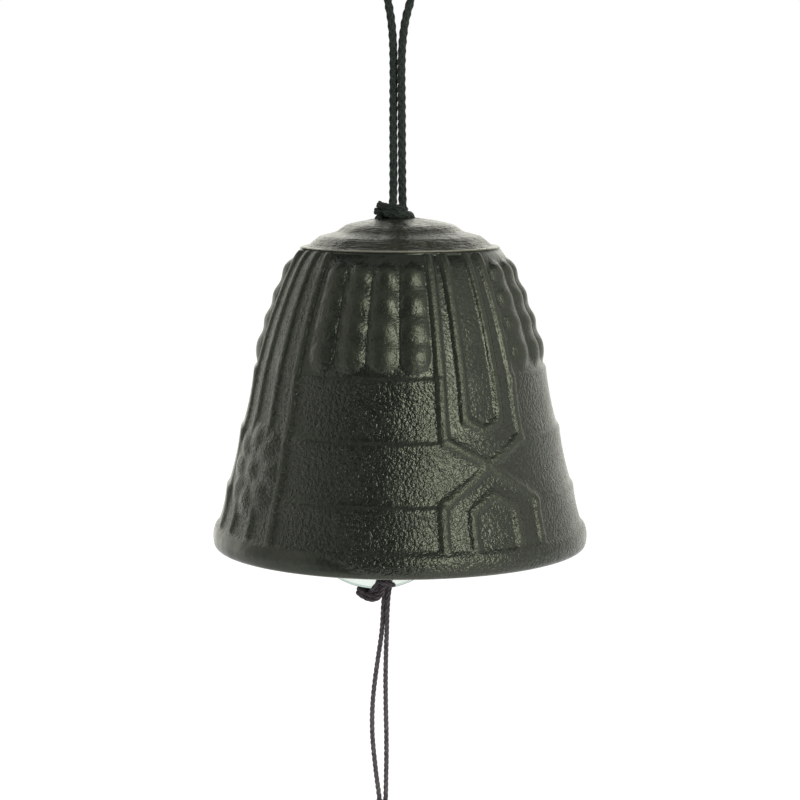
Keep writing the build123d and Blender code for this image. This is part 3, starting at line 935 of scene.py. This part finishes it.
@dataclass
class Rope:
    """A cord made of yarns that follow a smooth line through its route's points.

    A twisted cord's three plies are helices a third of a turn apart. In a braid four yarns turn each
    way, and each yarn's distance from the middle is a cosine that takes it over one and under the next.
    """

    points: list[Point]
    diameter: float
    build: RopeBuild
    pitch: float
    spacing: float = 0.16
    sides: int = 7
    blunt_start: bool = False
    blunt_end: bool = False

    def path(self) -> np.ndarray:
        """Even points along the route's NURBS line, in millimetres."""
        curve = bpy.data.curves.new("route", "CURVE")
        curve.dimensions = "3D"
        curve.resolution_u = 32
        spline = curve.splines.new("NURBS")
        spline.points.add(len(self.points) - 1)
        for spot, place in zip(spline.points, self.points):
            spot.co = (*(value * MM for value in place), 1.0)
        spline.order_u = 3
        spline.use_endpoint_u = True
        holder = bpy.data.objects.new("route", curve)
        mesh = bpy.data.meshes.new_from_object(holder)
        line = np.empty(len(mesh.vertices) * 3)
        mesh.vertices.foreach_get("co", line)
        bpy.data.objects.remove(holder)
        bpy.data.curves.remove(curve)
        bpy.data.meshes.remove(mesh)
        return softened(line.reshape(-1, 3) / MM, self.spacing, self.spacing)

    def frames(self, line: np.ndarray) -> tuple[np.ndarray, np.ndarray]:
        """Two directions across a line at each point, carried along it without twist.

        Args:
            line: points of the line.

        Returns:
            Two arrays of unit vectors.
        """
        tangent = np.gradient(line, axis=0)
        tangent /= np.linalg.norm(tangent, axis=1)[:, None]
        across = np.empty_like(line)
        seed = np.eye(3)[np.abs(tangent[0]).argmin()]
        for index, ahead in enumerate(tangent):
            seed = seed - ahead * (seed @ ahead)
            seed = seed / np.linalg.norm(seed)
            across[index] = seed
        return across, np.cross(tangent, across)

    def yarns(self, line: np.ndarray) -> list[tuple[np.ndarray, float]]:
        """Middle lines and radii of the yarns round a line.

        Args:
            line: points of the cord's middle line.

        Returns:
            List of a yarn's points and its radius.
        """
        first, second = self.frames(line)
        along = np.arange(len(line)) * self.spacing
        angle = along * 2 * math.pi / self.pitch
        if self.build is RopeBuild.TWISTED:
            thick = self.diameter * 0.27
            core = []
            reach = np.full_like(along, self.diameter / 2 - thick)
            lays = [(angle + k * math.pi / 1.5, reach) for k in range(3)]
        else:
            thick = self.diameter * 0.21
            core = [(line, self.diameter * 0.4)]
            middle = self.diameter * 0.53 - thick
            wave = 0.13 * thick * np.cos(4 * angle)
            lays = [(angle + k * math.pi / 2, middle + wave) for k in range(4)]
            lays += [(-angle + k * math.pi / 2, middle - wave) for k in range(4)]
        return core + [
            (
                line + reach[:, None] * (np.cos(phase)[:, None] * first + np.sin(phase)[:, None] * second),
                thick,
            )
            for phase, reach in lays
        ]

    def tube(self, line: np.ndarray, radius: float) -> tuple[np.ndarray, Faces, np.ndarray]:
        """Carry a circle along a line, with rounded or blunt ends.

        Args:
            line: points of the line.
            radius: radius of the circle.

        Returns:
            Vertices, faces, and each vertex's place in the yarn, stretched along it.
        """
        first, second = self.frames(line)
        angle = np.arange(self.sides) * 2 * math.pi / self.sides
        along = np.arange(len(line)) * self.spacing
        left = along[-1] - along
        ends = np.where(self.blunt_start, 1.0, np.sqrt(np.clip(along / radius, 0.05, 1.0)))
        ends = ends * np.where(self.blunt_end, 1.0, np.sqrt(np.clip(left / radius, 0.05, 1.0)))
        circle = np.stack([np.cos(angle), np.sin(angle)], axis=1)
        spread = circle[None, :, 0, None] * first[:, None, :] + circle[None, :, 1, None] * second[:, None, :]
        points = line[:, None, :] + spread * (radius * ends)[:, None, None]
        lay = np.empty(points.shape)
        lay[:, :, :2] = circle[None] * radius
        lay[:, :, 2] = along[:, None] * 0.12
        faces: Faces = []
        for row in range(len(line) - 1):
            faces += ring_faces(row * self.sides, self.sides, (row + 1) * self.sides, self.sides)
        last = (len(line) - 1) * self.sides
        faces += [list(range(self.sides)), list(range(last, last + self.sides))]
        return points.reshape(-1, 3), faces, lay.reshape(-1, 3)

    def surface(self) -> tuple[np.ndarray, Faces, np.ndarray, np.ndarray]:
        """All yarns as one set of tubes.

        Returns:
            Vertices, faces, each vertex's place in its yarn, and the cord's middle line.
        """
        line = self.path()
        points, faces, lays, start = [], [], [], 0
        for yarn, radius in self.yarns(line):
            yarn_points, yarn_faces, lay = self.tube(yarn, radius)
            faces += (np.array(yarn_faces[:-2]) + start).tolist()
            faces += [[number + start for number in cap] for cap in yarn_faces[-2:]]
            start += len(yarn_points)
            points.append(yarn_points)
            lays.append(lay)
        return np.concatenate(points), faces, np.concatenate(lays), line


def spin(
    name: str, ropes: list[Rope], material: bpy.types.Material
) -> tuple[bpy.types.Object, list[np.ndarray]]:
    """Make one piece out of one or more cords.

    Args:
        name: name of the piece.
        ropes: its cords.
        material: the cord's finish.

    Returns:
        The piece, and the middle line of each cord.
    """
    points, faces, lays, lines, start = [], [], [], [], 0
    for rope in ropes:
        rope_points, rope_faces, lay, line = rope.surface()
        faces += [[number + start for number in face] for face in rope_faces]
        start += len(rope_points)
        points.append(rope_points)
        lays.append(lay)
        lines.append(line)
    piece = make_object(name, np.concatenate(points), faces)
    paint(piece, "lay", np.concatenate(lays) * MM)
    piece.data.materials.append(material)
    return piece, lines


@dataclass
class HangingCord:
    """Braided cord from the knot on the crown, round the hook's eye and back, with the knot itself."""

    finish: SpunFibre = SpunFibre("braided_cord_dyed_black", "090E0D", "2C3632", streak=0.14)
    diameter: float = 1.5
    pitch: float = 7.0
    loop: tuple[Point, ...] = (
        (-1.5, -1.5, -46.5),
        (-1.2, -0.9, -45.0),
        (-1.3, 0.35, -30.0),
        (-1.15, 0.5, -13.0),
        (-2.75, 0.1, -4.5),
        (-2.75, 0.0, 0.75),
        (2.75, 0.0, 0.75),
        (2.75, -0.1, -4.5),
        (0.2, -0.5, -13.0),
        (0.35, -0.35, -30.0),
        (0.42, -0.95, -45.0),
        (0.6, -1.5, -46.6),
    )
    knot_diameter: float = 1.4
    knot: tuple[Point, ...] = (
        (-4.35, -0.6, 2.65),
        (-3.2, -0.8, 2.05),
        (-1.9, -1.6, 1.95),
        (-0.4, -2.0, 1.8),
        (0.7, -1.5, 1.5),
        (0.95, 0.2, 1.5),
        (0.2, 1.3, 1.7),
        (-1.2, 1.4, 1.7),
        (-2.5, 0.6, 1.5),
        (-2.8, -1.2, 0.85),
        (-1.7, -2.5, 0.6),
        (0.0, -2.8, 0.6),
        (1.4, -1.9, 0.6),
        (2.0, -0.2, 0.4),
        (2.4, 0.0, -0.8),
        (2.9, 0.0, -4.2),
        (2.9, 0.0, -6.15),
        (-1.0, 0.0, -6.15),
        (-4.9, 0.0, -6.15),
        (-4.9, 0.0, -4.2),
        (-4.4, 0.0, -0.8),
        (-3.8, 0.1, 0.3),
        (-2.8, 0.6, 0.5),
        (-1.4, 1.2, 0.5),
        (0.2, 1.2, 0.5),
        (1.2, 0.5, 0.6),
        (0.5, -0.4, 0.7),
        (-1.2, -0.5, 0.9),
        (-3.2, -0.3, 1.0),
        (-4.95, 0.0, 1.2),
    )

    def build(self) -> list[bpy.types.Object]:
        """Spin the hanging loop and the knot, hang the knot on the bell's body, and leave the loop in place.
        """
        material = self.finish.material()
        loop, (line,) = spin(
            "hanging_cord", [Rope(list(self.loop), self.diameter, RopeBuild.BRAIDED, self.pitch)], material
        )
        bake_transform(loop)
        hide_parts("hanging_loop")
        knot_points = [(x, y, CROWN_Z + z) for x, y, z in self.knot]
        rope = Rope(knot_points, self.knot_diameter, RopeBuild.BRAIDED, self.pitch)
        knot, _ = spin("crown_knot_cord", [rope], material)
        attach(knot, "bell")
        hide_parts("crown_knot")
        return [loop, knot]


@dataclass
class ClapperString:
    """Twisted string: the tied loop in the bell, the hitch on the disc, and the tail down to the paper."""

    finish: SpunFibre = SpunFibre("twisted_string_dyed_dark", "231E23", "6B636C", streak=0.1)
    diameter: float = 1.0
    pitch: float = 3.4
    loop: tuple[Point, ...] = (
        (-3.55, -1.65, -71.3),
        (-3.0, -1.65, -58.0),
        (-2.8, -1.65, -52.5),
        (-2.8, 1.65, -52.5),
        (-3.0, 1.65, -58.0),
        (-3.6, 1.65, -72.0),
        (-4.3, 1.65, -88.0),
        (-4.4, 1.65, -92.8),
        (-4.4, -1.65, -92.8),
        (-4.3, -1.65, -88.0),
        (-3.6, -1.65, -72.2),
    )
    loop_knot: tuple[Point, ...] = (
        (-3.9, -2.3, -70.6),
        (-3.2, -2.5, -70.9),
        (-2.9, -1.6, -71.2),
        (-3.6, -0.9, -71.5),
        (-4.2, -1.6, -71.8),
        (-3.6, -2.5, -72.0),
        (-2.9, -1.9, -72.3),
        (-3.3, -1.1, -72.6),
    )
    hitch_sling: tuple[Point, ...] = (
        (-3.1, -2.2, -118.6),
        (-3.3, -2.8, -120.4),
        (-4.3, -2.8, -121.8),
        (-5.7, -2.2, -122.2),
        (-7.3, -1.3, -121.7),
        (-8.4, -0.5, -121.0),
        (-7.9, 0.3, -121.0),
        (-6.2, 0.2, -121.7),
        (-4.6, -0.6, -121.9),
        (-3.6, -1.6, -120.8),
        (-3.4, -1.7, -118.6),
        (-3.2, -1.4, -116.9),
        (-3.2, 0.2, -116.4),
    )
    sling_offset: Point = (0.15, 0.1, 0.75)
    hitch_drop: tuple[Point, ...] = (
        (-3.2, 0.2, -116.2),
        (-3.3, -1.5, -116.6),
        (-3.9, -1.9, -118.2),
        (-5.0, -1.9, -119.8),
        (-6.1, -1.6, -121.0),
        (-6.4, -0.8, -121.6),
    )
    drop_offset: Point = (0.75, -0.1, -0.4)
    hitch_wrap: tuple[Point, ...] = (
        (-4.6, -1.9, -118.5),
        (-3.3, -3.0, -118.5),
        (-1.8, -3.1, -118.9),
        (-1.1, -2.2, -119.2),
        (-1.7, -1.3, -119.2),
        (-3.0, -1.4, -118.7),
    )
    left: tuple[Point, ...] = (
        (-2.8, -2.3, -117.6),
        (-2.8, -2.4, -119.4),
        (-3.2, -1.7, -121.8),
        (-3.45, -1.7, -128.3),
        (-4.7, -1.75, -136.3),
        (-5.55, -1.85, -143.8),
        (-5.4, -1.95, -152.3),
        (-3.95, -1.95, -162.95),
    )
    right: tuple[Point, ...] = (
        (-1.9, -2.4, -117.4),
        (-1.9, -2.6, -119.2),
        (-2.4, -2.25, -121.8),
        (-2.6, -2.3, -128.3),
        (-2.85, -2.2, -136.3),
        (-2.8, -2.05, -143.8),
        (-2.6, -1.95, -152.3),
        (-2.85, -1.95, -162.95),
    )
    bail: tuple[Point, ...] = (
        (-3.6, -2.4, -163.6),
        (-3.4, -2.8, -165.6),
        (-3.4, -2.8, -171.5),
        (-3.4, -1.1, -171.5),
        (-3.4, -1.1, -165.6),
        (-3.2, -1.5, -163.6),
    )
    tail_knot: tuple[Point, ...] = (
        (-1.6, -1.95, -163.0),
        (-2.1, -3.25, -163.05),
        (-3.4, -3.8, -163.1),
        (-4.7, -3.25, -163.15),
        (-5.25, -1.95, -163.2),
        (-4.7, -0.65, -163.3),
        (-3.4, -0.1, -163.4),
        (-2.1, -0.65, -163.6),
        (-1.8, -1.95, -163.85),
        (-2.4, -2.9, -164.0),
        (-3.4, -3.1, -164.05),
        (-4.4, -2.2, -164.2),
        (-3.8, -1.0, -164.4),
        (-2.5, -1.3, -164.6),
        (-2.5, -2.6, -164.9),
        (-3.7, -3.0, -165.2),
        (-4.4, -1.8, -165.5),
        (-3.4, -0.9, -165.8),
        (-2.6, -1.8, -166.0),
    )

    def rope(self, points: tuple[Point, ...], diameter: float | None = None) -> Rope:
        """A length of this string along a route."""
        return Rope(list(points), diameter or self.diameter, RopeBuild.TWISTED, self.pitch)

    def build(self) -> list[bpy.types.Object]:
        """Spin each length of string, and hang all but the two tail strands on their bodies."""
        material = self.finish.material()
        loop, _ = spin("clapper_string", [self.rope(self.loop), self.rope(self.loop_knot)], material)
        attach(loop, "clapper_string")
        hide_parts("clapper_loop")
        doubled = ((self.hitch_sling, self.sling_offset), (self.hitch_drop, self.drop_offset))
        lengths = [self.rope(points) for points, _ in doubled] + [self.rope(self.hitch_wrap)]
        for points, offset in doubled:
            beside = tuple(tuple(a + b for a, b in zip(point, offset)) for point in points)
            lengths.append(self.rope(beside))
        hitch, _ = spin("hitch_string", lengths, material)
        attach(hitch, "clapper")
        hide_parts("tail_hitch")
        knot, _ = spin("tail_knot_string", [self.rope(self.bail), self.rope(self.tail_knot)], material)
        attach(knot, "paper_knot")
        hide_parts("tail_knot")
        made = [loop, hitch, knot]
        for side, points in (("left", self.left), ("right", self.right)):
            strand, (line,) = spin(f"tail_{side}", [self.rope(points)], material)
            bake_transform(strand)
            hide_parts(f"tail_strand_{side}")
            made.append(strand)
        return made


@dataclass
class PaperCatcher:
    """Blank paper strip: a grid bowed a little about its length, with a thickness and a hole."""

    finish: HandmadePaper = HandmadePaper()
    width: float = 34.0
    length: float = 96.0
    thickness: float = 0.4
    bow: float = 0.7
    hole: Point = (-3.4, -1.95, -171.1)
    hole_radius: float = 1.6
    hole_inset: float = 3.2

    def build(self) -> bpy.types.Object:
        """Bend the sheet, give it its thickness, punch the hole, and hang it on its body.

        The sheet's depth is a parabola across its width that grows towards its foot.
        """
        across, down = np.meshgrid(np.linspace(-0.5, 0.5, 35), np.linspace(0.0, 1.0, 97))
        x = self.hole[0] + across * self.width
        z = self.hole[2] + self.hole_inset - down * self.length
        y = self.hole[1] - self.bow * down * (1 - 4 * across**2)
        sheets = [np.stack([x, y + side * self.thickness / 2, z], axis=-1) for side in (-1, 1)]
        points = np.concatenate([sheet.reshape(-1, 3) for sheet in sheets])
        rows, columns = across.shape
        number = np.arange(rows * columns).reshape(rows, columns)
        cells = [number[:-1, :-1], number[:-1, 1:], number[1:, 1:], number[1:, :-1]]
        front = np.stack([cell.ravel() for cell in cells], axis=1)
        edge = np.concatenate([number[0, :-1], number[:-1, -1], number[-1, :0:-1], number[:0:-1, 0]])
        wall = np.stack(
            [edge, np.roll(edge, -1), np.roll(edge, -1) + number.size, edge + number.size], axis=1
        )
        faces = np.concatenate([front, front[:, ::-1] + number.size, wall]).tolist()
        piece = make_object("paper_strip", points, faces)
        cut_away(piece, pegs("punch", [self.hole], 1, self.hole_radius, 6.0))
        piece.data.polygons.foreach_set("use_smooth", np.zeros(len(piece.data.polygons), bool))
        piece.data.materials.append(self.finish.material())
        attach(piece, "catcher")
        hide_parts("tanzaku")
        return piece


@dataclass
class Softbox:
    """A square lamp that looks at the bell."""

    name: str
    azimuth: float
    elevation: float
    distance: float
    size: Flat
    power: float
    colour: str = "FFFFFF"

    def place(self, middle: np.ndarray) -> bpy.types.Object:
        """Put the lamp at its bearing from the bell's middle and turn it to face there."""
        side, up = math.radians(self.azimuth), math.radians(self.elevation)
        away = np.array([math.cos(up) * math.sin(side), -math.cos(up) * math.cos(side), math.sin(up)])
        lamp = bpy.data.lights.new(self.name, "AREA")
        lamp.shape = "RECTANGLE"
        lamp.size, lamp.size_y = self.size
        lamp.energy = self.power
        lamp.color = linear(self.colour)[:3]
        holder = bpy.data.objects.new(self.name, lamp)
        holder.location = middle + away * self.distance
        holder.rotation_euler = (math.pi / 2 - up, 0.0, side)
        holder.visible_camera = False
        bpy.context.scene.collection.objects.link(holder)
        return holder


@dataclass
class Studio:
    """White surroundings, dark cards in front and on the left, softboxes, a pale floor, and the camera."""

    camera_place: Point = (0.0, -412.0, -32.4)
    camera_pitch: float = 7.02
    lens: float = 96.35
    middle: Point = (0.0, 0.0, -80.0)
    floor_z: float = -300.0
    lamps: tuple[Softbox, ...] = (
        Softbox("right_front_softbox", 31.0, 17.0, 0.7, (0.27, 0.32), 2.5, "FBFFEE"),
        Softbox("right_front_halo", 31.0, 15.0, 0.72, (0.58, 0.7), 2.0, "FBFFEE"),
        Softbox("right_softbox", 84.0, 15.0, 0.8, (0.5, 0.7), 0.25, "FBFFEE"),
    )

    def build(self) -> None:
        """Set up everything that isn't part of the object."""
        scene = bpy.context.scene
        scene.view_settings.view_transform = "Standard"
        camera = bpy.data.cameras.new("camera")
        camera.lens = self.lens
        camera.sensor_width = 36.0
        camera.clip_start = 0.01
        holder = bpy.data.objects.new("camera", camera)
        holder.location = np.array(self.camera_place) * MM
        holder.rotation_euler = (math.pi / 2 - math.radians(self.camera_pitch), 0.0, 0.0)
        scene.collection.objects.link(holder)
        scene.camera = holder
        for lamp in self.lamps:
            lamp.place(np.array(self.middle) * MM)
        self.surroundings()
        side, front, tall = 950.0, -760.0, 900.0
        across = [(-side, front, -tall), (side, front, -tall), (side, front, tall), (-side, front, tall)]
        self.card("front_card", across, 0.08)
        fore = [(-side, front, tall), (side, front, tall), (side, -80.0, tall), (-side, -80.0, tall)]
        above = [(-side, -80.0, tall), (side, -80.0, tall), (side, -front, tall), (-side, -front, tall)]
        behind = [
            (-side, -front, -290.0), (side, -front, -290.0), (side, -front, 520.0), (-side, -front, 520.0)
        ]
        left = (
            ("left_front_card", front, -150.0, 0.9),
            ("left_card", -150.0, 300.0, 0.55),
            ("left_back_card", 300.0, -front, 1.6),
        )
        for name, near, far, glow in left:
            beside = [(-side, near, -tall), (-side, far, -tall), (-side, far, tall), (-side, near, tall)]
            self.card(name, beside, glow)
        facing = [(side, front, -tall), (side, -front, -tall), (side, -front, tall), (side, front, tall)]
        centre = [
            (-330.0, 740.0, 100.0), (330.0, 740.0, 100.0), (330.0, 740.0, 480.0), (-330.0, 740.0, 480.0)
        ]
        below = [
            (-480.0, front, -292.0), (-60.0, front, -292.0), (-60.0, -300.0, -292.0), (-480.0, -300.0, -292.0)
        ]
        self.card("right_card", facing, 0.75)
        self.card("back_card", behind, 1.4)
        self.card("back_centre_card", centre, 2.3)
        self.card("top_front_card", fore, 0.45)
        self.card("top_back_card", above, 0.03)
        self.card("floor_card", below, 0.25)
        self.floor()

    def surroundings(self) -> None:
        """White world: full strength to the eye, in gloss and through glass, softer as light."""
        world = bpy.data.worlds.new("white_surroundings")
        world.use_nodes = True
        tree = world.node_tree
        tree.nodes.clear()
        rays = tree.nodes.new("ShaderNodeLightPath")
        seen = tree.nodes.new("ShaderNodeMath")
        seen.operation = "MAXIMUM"
        tree.links.new(rays.outputs["Is Camera Ray"], seen.inputs[0])
        tree.links.new(rays.outputs["Is Transmission Ray"], seen.inputs[1])
        either = tree.nodes.new("ShaderNodeMath")
        either.operation = "MAXIMUM"
        tree.links.new(seen.outputs[0], either.inputs[0])
        tree.links.new(rays.outputs["Is Glossy Ray"], either.inputs[1])
        strength = tree.nodes.new("ShaderNodeMapRange")
        strength.inputs[3].default_value = 0.6
        strength.inputs[4].default_value = 1.0
        tree.links.new(either.outputs[0], strength.inputs["Value"])
        sky = tree.nodes.new("ShaderNodeBackground")
        tree.links.new(strength.outputs["Result"], sky.inputs["Strength"])
        out = tree.nodes.new("ShaderNodeOutputWorld")
        tree.links.new(sky.outputs["Background"], out.inputs["Surface"])
        sky.inputs["Color"].default_value = (1.0, 1.0, 1.0, 1.0)
        bpy.context.scene.world = world

    def card(self, name: str, corners: list[Point], glow: float) -> None:
        """Card that only reflections see, as a studio's flags are: it keeps part of the bell dark.

        Args:
            name: name of the card.
            corners: its four corners.
            glow: brightness that a reflection shows.
        """
        card = make_object(name, np.array(corners), [[0, 1, 2, 3]], outward=False)
        shader = Shader(f"{name}_felt")
        shader.wire(
            shader.surface,
            {
                "Base Color": (0.0, 0.0, 0.0, 1.0),
                "Roughness": 1.0,
                "Specular IOR Level": 0.0,
                "Emission Color": linear("FFFFF5"),
                "Emission Strength": glow,
            },
        )
        card.data.materials.append(shader.material)
        card.visible_camera = False
        card.visible_shadow = False
        card.visible_diffuse = False
        card.visible_transmission = False

    def floor(self) -> None:
        """Pale floor that the eye sees as white, with the object's soft shadow kept."""
        reach = 6000.0
        points = np.array(
            [(-reach, -reach, 0.0), (reach, -reach, 0.0), (reach, reach, 0.0), (-reach, reach, 0.0)]
        )
        points[:, 2] = self.floor_z
        floor = make_object("floor", points, [[0, 1, 2, 3]], outward=False)
        shader = Shader("white_studio_paper")
        rays = shader.add("ShaderNodeLightPath", {})
        seen = shader.add(
            "ShaderNodeMath",
            {0: rays.outputs["Is Camera Ray"], 1: rays.outputs["Is Transmission Ray"]},
            operation="MAXIMUM",
        ).outputs[0]
        seen = shader.add(
            "ShaderNodeMath", {0: seen, 1: rays.outputs["Is Glossy Ray"]}, operation="MAXIMUM"
        ).outputs[0]
        lift = shader.add("ShaderNodeMapRange", {"Value": seen, 3: 0.0, 4: 0.52}).outputs["Result"]
        shader.wire(
            shader.surface,
            {
                "Base Color": linear("E8E8E6"),
                "Roughness": 0.9,
                "Emission Color": (1.0, 1.0, 1.0, 1.0),
                "Emission Strength": lift,
            },
        )
        floor.data.materials.append(shader.material)


def main() -> None:
    """Load the frame, build each sub-assembly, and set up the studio."""
    logging.basicConfig(level=logging.INFO, format="%(name)s: %(message)s")
    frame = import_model()
    made: list[bpy.types.Object] = [BellCasting().build()]
    made += HangingCord().build()
    made += ClapperString().build()
    made.append(PaperCatcher().build())
    disc = frame["nodes"]["clapper_disc"]
    disc.data.materials.clear()
    disc.data.materials.append(ClearGlass().material())
    Studio().build()
    for piece in made:
        piece.data.calc_loop_triangles()
        LOG.info("%s: %d triangles", piece.name, len(piece.data.loop_triangles))


if __name__ == "__main__":
    main()
